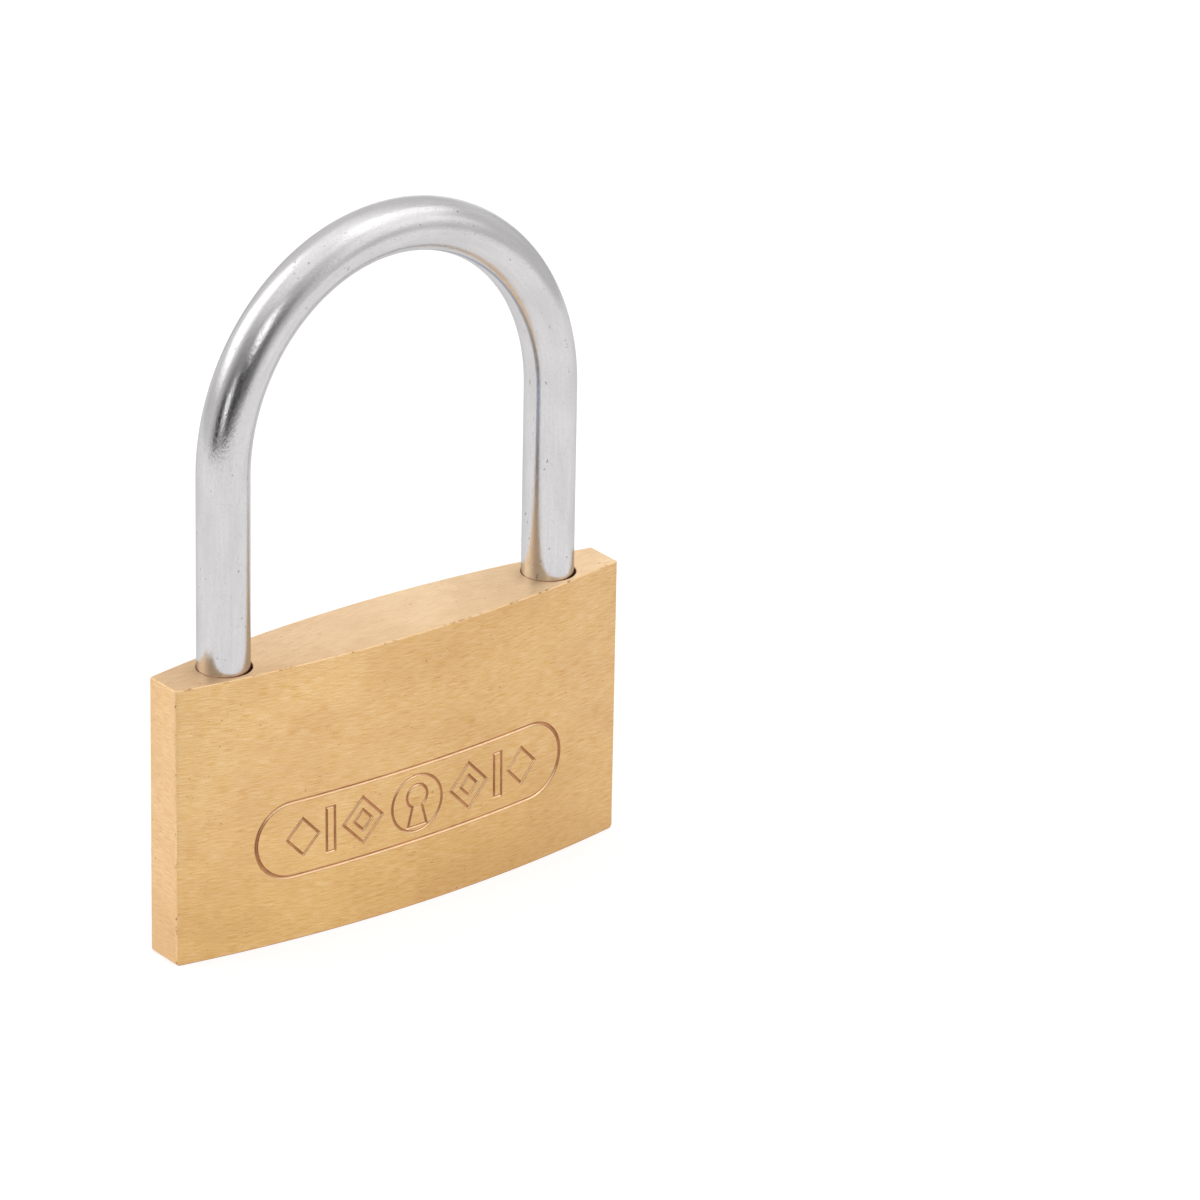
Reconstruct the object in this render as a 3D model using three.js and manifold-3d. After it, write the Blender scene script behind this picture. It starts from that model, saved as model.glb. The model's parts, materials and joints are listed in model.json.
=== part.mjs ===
// A keyed brass padlock with a round steel shackle, closed, with its plug turned to open.
// Millimetres. X runs along the width, the front face looks along -Y, and Z is up.
// The origin is the middle of the underside.

import * as THREE from "three";
import { mergeVertices } from "three/addons/utils/BufferGeometryUtils.js";
import Module from "manifold-3d";

const wasm = await Module();
wasm.setup();

// Case: a block that is thick in the middle and thin at both ends, with arcs for its faces.
const CASE_WIDTH = 63;
const CASE_HEIGHT = 34.5;
const CASE_MIDDLE = 11.1;
const CASE_END = 5;
const CASE_EDGE = 0.3;
const FACE_STEPS = 12;

// Shackle: two legs in bores of the case, joined by half an ellipse.
const LEG_REACH = 23.1;
const LEG_RADIUS = 3.1;
const LEG_BORE = 3.375;
const LEG_RISE = 23.4;
const BOW_RISE = 24.7;
const BOW_STEPS = 30;
const SHACKLE_SIDES = 20;
const LEG_CHAMFER = 0.7;

// Heel leg: it stays in the case, with a neck that slides past the heel pin.
const HEEL_BORE_FLOOR = 3.5;
const HEEL_END = 9;
const HEEL_NECK = 2;
const HEEL_FOOT_TOP = 11;
const HEEL_PIN_RADIUS = 0.8;
const HEEL_PIN_FRONT = -2.4;
const HEEL_PIN_X = -20.1;
const HEEL_PIN_Z = 25.3;
const HEEL_NECK_TOP = 26.6;
const HEEL_SPRING = { coil: 2.4, wire: 0.28, turns: 6, steps: 12, sides: 6 };

// Toe leg: it leaves the case, and a notch in its inner side takes the latch.
const TOE_END = 22;
const TOE_BORE_FLOOR = 21;
const TOE_NOTCH = { depth: 1.9, low: 25.4, high: 29.2 };

// Latch: a round bolt that the plug's cam draws back against its spring.
const LATCH_Z = 27.3;
const LATCH_RADIUS = 1.6;
const LATCH_BORE = 1.75;
const LATCH_BORE_END = -13.5;
const LATCH_NOSE = 19.6;
const LATCH_TAIL = -7.5;
const LATCH_TAIL_PIN = { radius: 0.7, length: 2.3 };
const LATCH_BEVEL = 1.7;
const LATCH_SLOT = { start: -1.77, end: 1.97, roof: 27.4 };
const LATCH_SPRING = { coil: 1.2, wire: 0.18, turns: 6, steps: 10, sides: 4 };
const LATCH_BORE_PLUG = { radius: 1.63, start: 27.3 };

// Plug: the turning cylinder, with the cam and its eccentric pin on top.
const PLUG_RADIUS = 4.2;
const PLUG_BORE = 4.35;
const PLUG_BORE_TOP = 24.6;
const PLUG_BOTTOM = 0.2;
const PLUG_TOP = 22.6;
const PLUG_GROOVE = { low: 19.5, high: 20.9, radius: 3.3 };
const PLUG_PIN = { radius: 0.55, x: -4.2, front: -2, z: 20.2 };
const KEYWAY_TOP = 19.2;
const CAM_RADIUS = 3.2;
const CAM_LOW = 22.9;
const CAM_HIGH = 24.2;
const CAM_SLOT = { half: 1.1, floor: 21.4 };
const CAM_TONGUE = { half: 0.9, reach: 2.5, low: 21.6 };
const CAM_THROW = 1.3;
const CAM_PIN_RADIUS = 0.7;
const CAM_PIN_TOP = 27;
const CAM_ANGLE = 3 * Math.PI / 4;
const CAM_POCKET = 2.35;

// Pin stacks: five in a row up the plug, all driven from the +X end of the case.
const STACK_HEIGHTS = [ 4.5, 7.8, 11.1, 14.4, 17.7 ];
const KEY_PIN_LENGTHS = [ 2.6, 3.4, 2.9, 3.7, 3.1 ];
const CHAMBER_RADIUS = 1.35;
const CHAMBER_FLOOR = -0.2;
const PIN_RADIUS = 1.15;
const PIN_CHAMFER = 0.2;
const KEY_PIN_TIP = 0.35;
const KEY_PIN_TOP = 4.1;
const DRIVER_START = 4.45;
const DRIVER_LENGTH = 4.05;
const PIN_SPRING = { coil: 0.8, wire: 0.14, turns: 5, steps: 8, sides: 4 };
const PIN_SPRING_START = 8.7;
const PIN_SPRING_END = 15.3;
const CHAMBER_PLUG = { radius: 1.2, start: 15.6 };

// Gaps: under the case's faces at the ends of the fitted pins and plugs, round the cross pins and past
// their inner ends, and at each end of a spring.
const FLUSH_GAP = 0.1;
const CROSS_PIN_GAP = 0.13;
const CROSS_PIN_PAST = 0.2;
const SPRING_GAP = 0.2;

// Engraved panel: a shallow groove round a long rounded field on the front face.
const PANEL = { x: 0.3, z: 13.05, width: 44, height: 9.8, groove: 0.45, depth: 0.3, tilt: 0.012 };

const CASE_ENDS = CASE_WIDTH / 2;
const CASE_HALF = CASE_MIDDLE / 2;
const FACE_SAG = ( CASE_MIDDLE - CASE_END ) / 2;
const FACE_RADIUS = ( CASE_ENDS ** 2 + FACE_SAG ** 2 ) / ( 2 * FACE_SAG );
const LEG_TOP = CASE_HEIGHT + LEG_RISE;

// How far a cutting tool runs past a surface, and a joined solid into its neighbour.
const THROUGH = 1;
const OVERLAP = 0.5;

// Materials ------------------------------------------------------------------

const finish = ( color, roughness, metalness ) => new THREE.MeshStandardMaterial( { color, roughness, metalness } );
const brushedBrass = () => finish( 0xdfb680, 0.38, 1 );
const turnedBrass = () => finish( 0xcfa868, 0.3, 1 );
const satinSteel = () => finish( 0xc9c7c8, 0.3, 1 );
const springSteel = () => finish( 0x9a9a9c, 0.35, 1 );

// Helpers ---------------------------------------------------------------------

function toSolid( geometry ) {

	const plain = geometry.clone();
	plain.deleteAttribute( "normal" );
	plain.deleteAttribute( "uv" );
	const merged = mergeVertices( plain );
	const vertProperties = new Float32Array( merged.attributes.position.array );
	const triVerts = new Uint32Array( merged.index.array );
	return new wasm.Manifold( new wasm.Mesh( { numProp: 3, vertProperties, triVerts } ) );

}

function toGeometry( solid ) {

	const mesh = solid.getMesh();
	const geometry = new THREE.BufferGeometry();
	geometry.setAttribute( "position", new THREE.BufferAttribute( mesh.vertProperties, 3 ) );
	geometry.setIndex( new THREE.BufferAttribute( mesh.triVerts, 1 ) );
	geometry.computeVertexNormals();
	return geometry;

}

function cut( geometry, tools ) {

	let solid = toSolid( geometry );
	for ( const tool of tools ) solid = solid.subtract( toSolid( tool ) );
	return toGeometry( solid );

}

function join( geometry, others ) {

	let solid = toSolid( geometry );
	for ( const other of others ) solid = solid.add( toSolid( other ) );
	return toGeometry( solid );

}

function piece( name, geometry, material, position = [ 0, 0, 0 ] ) {

	const mesh = new THREE.Mesh( geometry, material );
	mesh.name = name;
	mesh.position.set( ...position );
	return mesh;

}

// Round bars between two heights or two distances along an axis.
function barZ( radius, low, high, x = 0, y = 0, sides = 24 ) {

	const bar = new THREE.CylinderGeometry( radius, radius, high - low, sides );
	return bar.rotateX( Math.PI / 2 ).translate( x, y, ( low + high ) / 2 );

}

function barX( radius, start, end, z = 0, sides = 16 ) {

	const bar = new THREE.CylinderGeometry( radius, radius, end - start, sides );
	return bar.rotateZ( Math.PI / 2 ).translate( ( start + end ) / 2, 0, z );

}

function barY( radius, start, end, x, z, sides = 16 ) {

	const bar = new THREE.CylinderGeometry( radius, radius, end - start, sides );
	return bar.translate( x, ( start + end ) / 2, z );

}

function block( xs, ys, zs ) {

	const size = [ xs, ys, zs ].map( ( [ low, high ] ) => high - low );
	const middle = [ xs, ys, zs ].map( ( [ low, high ] ) => ( low + high ) / 2 );
	return new THREE.BoxGeometry( ...size ).translate( ...middle );

}

// A turned piece from its [ radius, height ] outline, listed upwards, about the Z axis.
function turned( outline, sides ) {

	const points = outline.map( ( [ radius, height ] ) => new THREE.Vector2( radius, height ) );
	return new THREE.LatheGeometry( points, sides ).rotateX( Math.PI / 2 );

}

// A ring about a leg's axis, cut out of it: its outline runs outside the leg and back to the axis side.
function legRing( x, inner, outline ) {

	const closed = [ ...outline, outline[ 0 ] ].map( ( [ radius, height ] ) => [ inner + radius, height ] );
	return turned( closed, SHACKLE_SIDES ).translate( x, 0, 0 );

}

class Helix extends THREE.Curve {

	constructor( radius, length, turns ) {

		super();
		Object.assign( this, { radius, length, turns } );

	}

	getPoint( t, target = new THREE.Vector3() ) {

		const angle = 2 * Math.PI * this.turns * t;
		return target.set( this.radius * Math.cos( angle ), this.radius * Math.sin( angle ), this.length * t );

	}

}

// A coil spring that stands on the origin and fills its length along Z.
function coilSpring( { coil, wire, turns, steps, sides }, length ) {

	const section = new THREE.Shape().absarc( 0, 0, wire, 0, 2 * Math.PI );
	const path = new Helix( coil, length - 2 * wire, turns );
	const settings = { steps: turns * steps, curveSegments: sides / 2, extrudePath: path };
	return new THREE.ExtrudeGeometry( section, settings ).translate( 0, 0, wire );

}

// Case --------------------------------------------------------------------------

function caseOutline() {

	const half = Math.asin( CASE_ENDS / FACE_RADIUS );
	const centre = FACE_RADIUS - CASE_HALF;
	const outline = new THREE.Shape();
	outline.absarc( 0, centre, FACE_RADIUS, - Math.PI / 2 - half, - Math.PI / 2 + half );
	outline.absarc( 0, - centre, FACE_RADIUS, Math.PI / 2 - half, Math.PI / 2 + half );
	return outline;

}

function caseBlock() {

	const bevel = { bevelThickness: CASE_EDGE, bevelSize: CASE_EDGE, bevelOffset: - CASE_EDGE, bevelSegments: 1 };
	const settings = { depth: CASE_HEIGHT - 2 * CASE_EDGE, curveSegments: FACE_STEPS, ...bevel };
	return new THREE.ExtrudeGeometry( caseOutline(), settings ).translate( 0, 0, CASE_EDGE );

}

function roundedField( width, height ) {

	const radius = height / 2;
	const centre = width / 2 - radius;
	const field = new THREE.Shape();
	field.absarc( centre, 0, radius, - Math.PI / 2, Math.PI / 2 );
	field.absarc( - centre, 0, radius, Math.PI / 2, 3 * Math.PI / 2 );
	return field;

}

// The groove keeps one depth below the curved front face.
function panelGroove() {

	const ring = roundedField( PANEL.width, PANEL.height );
	ring.holes.push( roundedField( PANEL.width - 2 * PANEL.groove, PANEL.height - 2 * PANEL.groove ) );
	const prism = new THREE.ExtrudeGeometry( ring, { depth: CASE_MIDDLE, bevelEnabled: false, curveSegments: 5 } );
	prism.rotateZ( PANEL.tilt ).rotateX( Math.PI / 2 ).translate( PANEL.x, 0, PANEL.z );
	const skin = toSolid( caseBlock() ).subtract( toSolid( caseBlock().translate( 0, PANEL.depth, 0 ) ) );
	return toSolid( prism ).intersect( skin );

}

function crossPinHole( radius, front, x, z ) {

	return barY( radius + CROSS_PIN_GAP, front - CROSS_PIN_PAST, CASE_MIDDLE, x, z );

}

function makeCase() {

	const tools = [
		barZ( LEG_BORE, HEEL_BORE_FLOOR, CASE_HEIGHT + THROUGH, - LEG_REACH ),
		barZ( LEG_BORE, TOE_BORE_FLOOR, CASE_HEIGHT + THROUGH, LEG_REACH ),
		barZ( PLUG_BORE, - THROUGH, PLUG_BORE_TOP, 0, 0, 32 ),
		barZ( CAM_POCKET, PLUG_BORE_TOP - THROUGH, LATCH_Z, 0, 0, 20 ),
		barX( LATCH_BORE, LATCH_BORE_END, CASE_ENDS + THROUGH, LATCH_Z, 20 ),
		crossPinHole( HEEL_PIN_RADIUS, HEEL_PIN_FRONT, HEEL_PIN_X, HEEL_PIN_Z ),
		crossPinHole( PLUG_PIN.radius, PLUG_PIN.front, PLUG_PIN.x, PLUG_PIN.z ),
	];
	for ( const height of STACK_HEIGHTS ) tools.push( barX( CHAMBER_RADIUS, 0, CASE_ENDS + THROUGH, height ) );
	const bored = toSolid( cut( caseBlock(), tools ) );
	return piece( "case", toGeometry( bored.subtract( panelGroove() ) ), brushedBrass() );

}

// Shackle -----------------------------------------------------------------------

// The rod's centre line. Each straight leg is one section, and the rest share out the bow.
class ShackleLine extends THREE.Curve {

	getPoint( t, target = new THREE.Vector3() ) {

		const section = t * ( BOW_STEPS + 2 );
		if ( section <= 1 ) return target.set( - LEG_REACH, 0, HEEL_END + section * ( LEG_TOP - HEEL_END ) );
		if ( section >= BOW_STEPS + 1 ) {

			const down = section - BOW_STEPS - 1;
			return target.set( LEG_REACH, 0, LEG_TOP - down * ( LEG_TOP - TOE_END ) );

		}

		const angle = Math.PI * ( 1 - ( section - 1 ) / BOW_STEPS );
		return target.set( LEG_REACH * Math.cos( angle ), 0, LEG_TOP + BOW_RISE * Math.sin( angle ) );

	}

	getUtoTmapping( u ) {

		return u;

	}

}

function makeShackle() {

	const section = new THREE.Shape().absarc( 0, 0, LEG_RADIUS, 0, 2 * Math.PI );
	const settings = { steps: BOW_STEPS + 2, curveSegments: SHACKLE_SIDES / 2, extrudePath: new ShackleLine() };
	const rod = new THREE.ExtrudeGeometry( section, settings );
	const outside = LEG_RADIUS + THROUGH;
	const neckWall = LEG_RADIUS - HEEL_NECK;
	const neck = [
		[ 0, HEEL_FOOT_TOP ],
		[ outside - HEEL_NECK, HEEL_FOOT_TOP ],
		[ outside - HEEL_NECK, HEEL_NECK_TOP + neckWall + THROUGH ],
		[ 0, HEEL_NECK_TOP ],
	];
	const rim = LEG_RADIUS - LEG_CHAMFER;
	const chamfer = ( end ) => [
		[ - THROUGH, end - THROUGH ],
		[ outside - rim, end - THROUGH ],
		[ outside - rim, end + LEG_CHAMFER + THROUGH ],
	];
	const inner = LEG_REACH - LEG_RADIUS;
	const notch = block(
		[ inner - THROUGH, inner + TOE_NOTCH.depth ],
		[ - outside, outside ],
		[ TOE_NOTCH.low, TOE_NOTCH.high ],
	);
	return piece( "shackle", cut( rod, [
		legRing( - LEG_REACH, HEEL_NECK, neck ),
		legRing( - LEG_REACH, rim, chamfer( HEEL_END ) ),
		legRing( LEG_REACH, rim, chamfer( TOE_END ) ),
		notch,
	] ), satinSteel() );

}

function makeHeelSpring() {

	const start = HEEL_BORE_FLOOR + SPRING_GAP;
	const spring = coilSpring( HEEL_SPRING, HEEL_END - SPRING_GAP - start );
	return piece( "heel_spring", spring, springSteel(), [ - LEG_REACH, 0, start ] );

}

// How far the case's back face stands from the middle plane, at a distance along X.
function backFace( x ) {

	return CASE_HALF - FACE_RADIUS + Math.sqrt( FACE_RADIUS ** 2 - x ** 2 );

}

function makeHeelPin() {

	const back = backFace( HEEL_PIN_X - HEEL_PIN_RADIUS ) - FLUSH_GAP;
	return piece( "heel_pin", barY( HEEL_PIN_RADIUS, HEEL_PIN_FRONT, back, HEEL_PIN_X, HEEL_PIN_Z, 12 ), satinSteel() );

}

// Latch ---------------------------------------------------------------------------

function makeLatch() {

	const bolt = barX( LATCH_RADIUS, LATCH_TAIL, LATCH_NOSE, LATCH_Z, 20 );
	const tail = LATCH_TAIL_PIN;
	const tailPin = barX( tail.radius, LATCH_TAIL - tail.length, LATCH_TAIL + THROUGH, LATCH_Z, 10 );
	const slot = block(
		[ LATCH_SLOT.start, LATCH_SLOT.end ],
		[ - 2 * LATCH_RADIUS, 2 * LATCH_RADIUS ],
		[ LATCH_Z - 2 * LATCH_RADIUS, LATCH_SLOT.roof ],
	);
	const bevel = new THREE.Shape( [
		new THREE.Vector2( LATCH_NOSE - LATCH_BEVEL - THROUGH, LATCH_RADIUS + THROUGH ),
		new THREE.Vector2( LATCH_NOSE + THROUGH, LATCH_RADIUS - LATCH_BEVEL - THROUGH ),
		new THREE.Vector2( LATCH_NOSE + THROUGH, LATCH_RADIUS + THROUGH ),
	] );
	const wedge = new THREE.ExtrudeGeometry( bevel, { depth: 4 * LATCH_RADIUS, bevelEnabled: false } );
	wedge.rotateX( Math.PI / 2 ).translate( 0, 2 * LATCH_RADIUS, LATCH_Z );
	return piece( "latch", cut( join( bolt, [ tailPin ] ), [ slot, wedge ] ), satinSteel() );

}

function makeLatchSpring() {

	const start = LATCH_BORE_END + SPRING_GAP;
	const spring = coilSpring( LATCH_SPRING, LATCH_TAIL - SPRING_GAP - start ).rotateY( Math.PI / 2 );
	return piece( "latch_spring", spring, springSteel(), [ start, 0, LATCH_Z ] );

}

function makeLatchBorePlug() {

	const { radius, start } = LATCH_BORE_PLUG;
	return piece( "latch_bore_plug", barX( radius, start, CASE_ENDS - FLUSH_GAP, LATCH_Z, 20 ), brushedBrass() );

}

// Plug and cam ----------------------------------------------------------------------

// The keyway in plan, with one ward standing in from each side. The pins come from +Y.
function keyway() {

	const outline = new THREE.Shape( [
		new THREE.Vector2( - 1, - 3.3 ),
		new THREE.Vector2( 1, - 3.3 ),
		new THREE.Vector2( 1, - 1.7 ),
		new THREE.Vector2( 0.3, - 1.4 ),
		new THREE.Vector2( 0.3, - 0.7 ),
		new THREE.Vector2( 1, - 0.4 ),
		new THREE.Vector2( 1, 2.6 ),
		new THREE.Vector2( - 1, 2.6 ),
		new THREE.Vector2( - 1, 1.3 ),
		new THREE.Vector2( - 0.4, 1 ),
		new THREE.Vector2( - 0.4, 0.5 ),
		new THREE.Vector2( - 1, 0.2 ),
	] );
	const depth = KEYWAY_TOP + THROUGH;
	return new THREE.ExtrudeGeometry( outline, { depth, bevelEnabled: false } ).translate( 0, 0, - THROUGH );

}

function makePlug() {

	const body = barZ( PLUG_RADIUS, PLUG_BOTTOM, PLUG_TOP, 0, 0, 32 );
	const groove = turned( [
		[ PLUG_GROOVE.radius, PLUG_GROOVE.low ],
		[ PLUG_RADIUS + THROUGH, PLUG_GROOVE.low ],
		[ PLUG_RADIUS + THROUGH, PLUG_GROOVE.high ],
		[ PLUG_GROOVE.radius, PLUG_GROOVE.high ],
		[ PLUG_GROOVE.radius, PLUG_GROOVE.low ],
	], 32 );
	const across = 2 * PLUG_RADIUS;
	const half = CAM_SLOT.half;
	const camSlot = block( [ - half, half ], [ - across, across ], [ CAM_SLOT.floor, PLUG_TOP + THROUGH ] );
	const tools = [ groove, camSlot, keyway() ];
	for ( const height of STACK_HEIGHTS ) tools.push( barY( CHAMBER_RADIUS, CHAMBER_FLOOR, across, 0, height ) );
	return piece( "plug", cut( body, tools ), turnedBrass() );

}

function makePlugCam() {

	const disc = barZ( CAM_RADIUS, CAM_LOW, CAM_HIGH );
	const { half, reach, low } = CAM_TONGUE;
	const tongue = block( [ - half, half ], [ - reach, reach ], [ low, CAM_LOW + OVERLAP ] );
	const x = CAM_THROW * Math.cos( CAM_ANGLE );
	const y = CAM_THROW * Math.sin( CAM_ANGLE );
	const pin = barZ( CAM_PIN_RADIUS, CAM_HIGH - OVERLAP, CAM_PIN_TOP, x, y, 16 );
	return piece( "plug_cam", join( disc, [ tongue, pin ] ), satinSteel() );

}

function makePlugPin() {

	const { radius, x, z, front } = PLUG_PIN;
	const back = backFace( x - radius ) - FLUSH_GAP;
	return piece( "plug_pin", barY( radius, front, back, x, z, 12 ), satinSteel() );

}

// Pin stacks --------------------------------------------------------------------------

function makeKeyPin( index ) {

	const length = KEY_PIN_LENGTHS[ index ];
	const outline = [
		[ 0, - length ],
		[ KEY_PIN_TIP, - length ],
		[ PIN_RADIUS, - length + PIN_RADIUS - KEY_PIN_TIP ],
		[ PIN_RADIUS, - PIN_CHAMFER ],
		[ PIN_RADIUS - PIN_CHAMFER, 0 ],
		[ 0, 0 ],
	];
	const pin = turned( outline, 12 ).rotateX( - Math.PI / 2 );
	return piece( `key_pin_${ index + 1 }`, pin, turnedBrass(), [ 0, KEY_PIN_TOP, STACK_HEIGHTS[ index ] ] );

}

function makeDriverPin( index ) {

	const outline = [
		[ 0, 0 ],
		[ PIN_RADIUS - PIN_CHAMFER, 0 ],
		[ PIN_RADIUS, PIN_CHAMFER ],
		[ PIN_RADIUS, DRIVER_LENGTH - PIN_CHAMFER ],
		[ PIN_RADIUS - PIN_CHAMFER, DRIVER_LENGTH ],
		[ 0, DRIVER_LENGTH ],
	];
	const pin = turned( outline, 12 ).rotateY( Math.PI / 2 );
	return piece( `driver_pin_${ index + 1 }`, pin, satinSteel(), [ DRIVER_START, 0, STACK_HEIGHTS[ index ] ] );

}

function makePinSpring( index ) {

	const spring = coilSpring( PIN_SPRING, PIN_SPRING_END - PIN_SPRING_START ).rotateY( Math.PI / 2 );
	const place = [ PIN_SPRING_START, 0, STACK_HEIGHTS[ index ] ];
	return piece( `pin_spring_${ index + 1 }`, spring, springSteel(), place );

}

function makeChamberPlug( index ) {

	const plug = barX( CHAMBER_PLUG.radius, CHAMBER_PLUG.start, CASE_ENDS - FLUSH_GAP );
	return piece( `chamber_plug_${ index + 1 }`, plug, brushedBrass(), [ 0, 0, STACK_HEIGHTS[ index ] ] );

}

// Assembly ------------------------------------------------------------------------------

const padlock = new THREE.Group();
padlock.name = "padlock";
padlock.add(
	makeCase(),
	makeShackle(),
	makeHeelSpring(),
	makeHeelPin(),
	makeLatch(),
	makeLatchSpring(),
	makeLatchBorePlug(),
	makePlug(),
	makePlugCam(),
	makePlugPin(),
);
for ( const index of STACK_HEIGHTS.keys() ) {

	padlock.add( makeKeyPin( index ), makeDriverPin( index ), makePinSpring( index ), makeChamberPlug( index ) );

}

export default padlock;
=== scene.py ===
"""The looks of a brass padlock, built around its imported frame. Metres, +Z up, front face towards -Y."""

import json
import math

import bmesh
import bpy
from mathutils import Matrix, Vector


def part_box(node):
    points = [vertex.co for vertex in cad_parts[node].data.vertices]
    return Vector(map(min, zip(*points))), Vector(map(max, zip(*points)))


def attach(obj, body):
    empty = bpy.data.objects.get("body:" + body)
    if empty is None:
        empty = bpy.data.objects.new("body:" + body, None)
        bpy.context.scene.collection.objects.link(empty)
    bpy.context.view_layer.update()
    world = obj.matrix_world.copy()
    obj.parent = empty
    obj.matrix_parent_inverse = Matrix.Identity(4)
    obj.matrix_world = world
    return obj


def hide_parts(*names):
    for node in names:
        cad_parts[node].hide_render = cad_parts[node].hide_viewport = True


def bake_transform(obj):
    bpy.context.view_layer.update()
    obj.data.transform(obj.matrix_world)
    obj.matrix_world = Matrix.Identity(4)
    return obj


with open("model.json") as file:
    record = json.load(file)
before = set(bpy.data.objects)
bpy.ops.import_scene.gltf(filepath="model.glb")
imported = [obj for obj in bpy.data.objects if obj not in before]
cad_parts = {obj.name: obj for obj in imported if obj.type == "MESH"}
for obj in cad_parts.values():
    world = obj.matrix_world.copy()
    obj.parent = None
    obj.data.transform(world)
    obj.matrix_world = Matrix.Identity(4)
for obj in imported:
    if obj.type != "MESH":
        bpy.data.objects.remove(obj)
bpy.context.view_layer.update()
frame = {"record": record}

MM = 0.001
RECORD = frame["record"]
BODY_OF = {node: body for body, nodes in RECORD["behaviour"]["bodies"].items() for node in nodes}

# Case, from the frame's box, and the half thickness of its narrow ends.
CASE_LOW, CASE_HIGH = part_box("case")
CASE_END_HALF = 2.5 * MM
FACE_SAG = CASE_HIGH.y - CASE_END_HALF
FACE_RADIUS = (CASE_HIGH.x**2 + FACE_SAG**2) / (2 * FACE_SAG)
FACE_STEPS = 120
EDGE_ROUND = 0.14 * MM
FOOT_ROUND = 0.5 * MM
SHARP_EDGE = math.radians(45)

# Shackle, from the frame's box.
ROD_LOW, ROD_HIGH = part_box("shackle")
ROD_RADIUS = ROD_HIGH.y
LEG_X = ROD_HIGH.x - ROD_RADIUS
LEG_TOP = CASE_HIGH.z + 23.4 * MM
BOW_RISE = ROD_HIGH.z - ROD_RADIUS - LEG_TOP
TOE_END = 22 * MM
NECK_RADIUS = 2 * MM
NECK_LOW = 11 * MM
NECK_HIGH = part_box("heel_pin")[1].z + 0.5 * MM
NOTCH_DEPTH = 1.9 * MM
LEG_CHAMFER = 0.7 * MM
ROD_SOFT = 0.12 * MM
BOW_START = LEG_TOP - 12 * MM
ROD_SIDES = 64
BOW_STEPS = 120

# Latch, plug and pin stacks.
LATCH_Z = sum(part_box("latch")[i].z for i in (0, 1)) / 2
LATCH_RADIUS = 1.6 * MM
LATCH_BEVEL = 1.7 * MM
LATCH_TAIL = 2.3 * MM
LATCH_TAIL_RADIUS = 0.7 * MM
NOTCH_HALF = LATCH_RADIUS + 0.3 * MM
PLUG_LOW, PLUG_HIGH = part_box("plug")
PLUG_RADIUS = PLUG_HIGH.x
PLUG_EDGE = 0.25 * MM
PLUG_SLOT_HALF = 1.1 * MM
PLUG_SLOT_FLOOR = 21.4 * MM
GROOVE_LOW, GROOVE_HIGH, GROOVE_RADIUS = 19.5 * MM, 20.9 * MM, 3.3 * MM
KEYWAY_TOP = 19.2 * MM
CHAMBER_RADIUS = 1.35 * MM
CAM_THROW = 1.3 * MM
CAM_PIN = 0.7 * MM
CAM_ANGLE = math.radians(135)
CAM_X, CAM_Y = CAM_THROW * math.cos(CAM_ANGLE), CAM_THROW * math.sin(CAM_ANGLE)
CAM_EDGE = 0.15 * MM
DISC_LOW, DISC_HIGH = 22.9 * MM, 24.2 * MM
TONGUE_HALF_WIDTH, TONGUE_HALF_LENGTH = 0.9 * MM, 2.5 * MM
SUNK = 0.2 * MM  # how far an added solid reaches into the one that it joins
COIL_STEPS = 20
WIRE_SIDES = 10
STACKS = range(1, 6)
STACK_Z = {i: sum(corner.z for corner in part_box(f"key_pin_{i}")) / 2 for i in STACKS}

# Bores in the case, with the countersunk lips at their mouths.
LEG_BORE = ROD_RADIUS + 0.14 * MM
LEG_BORE_SHIFT = 0.125 * MM
LEG_LIP = 0.08 * MM
HEEL_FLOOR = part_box("heel_spring")[0].z - 0.2 * MM
TOE_FLOOR = TOE_END - 1 * MM
LATCH_BORE = 1.75 * MM
LATCH_BORE_START = -13.5 * MM
LATCH_LIP = 0.05 * MM
PLUG_BORE = PLUG_RADIUS + 0.15 * MM
PLUG_BORE_TOP = 24.6 * MM
PLUG_LIP = 0.15 * MM
POCKET_RADIUS = 2.35 * MM
STACK_BORE = 1.26 * MM
PIN_BORE_GAP = 0.06 * MM
SMALL_LIP = 0.04 * MM
PAST = 1 * MM  # how far a cutter runs past the surface that it opens

# Engraved panel on the front face: its middle, size, lean and line widths.
PANEL_X = 0.3 * MM
PANEL_Z = 13.05 * MM
PANEL_WIDTH = 43.6 * MM
PANEL_HEIGHT = 9.4 * MM
PANEL_LEAN = math.radians(0.7)
RIM_LINE = 0.26 * MM
ORNAMENT_LINE = 0.19 * MM
LINE_STEP = 0.6 * MM
LINE_SIDES = 8
LINE_MITRE = 2.2  # how far a corner's ring may stretch

# Material slots of the case piece. The faces that no other slot takes stay in FACE.
FACE, TOP, END, EDGE, BORE, ENGRAVED = range(6)

# Camera, as fitted to the photograph's outline, and the point that it aims at.
CAMERA_AZIMUTH, CAMERA_ELEVATION, CAMERA_ROLL = (math.radians(a) for a in (-38.318, 23.982, 1.129))
CAMERA_LENS = 232.88
CAMERA_SENSOR = 36
CAMERA_DISTANCE = 888.862 * MM
CAMERA_REACH = 20
AIM_HEIGHT = 40 * MM
AIM_RIGHT, AIM_UP = 24.2665 * MM, -2.9754 * MM

# Table and floor under the object.
TABLE_RADIUS = 0.36
TABLE_DROP = 0.02 * MM
FLOOR_HALF = 6
FLOOR_DROP = 0.1 * MM


# Shader helpers ---------------------------------------------------------------


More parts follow.
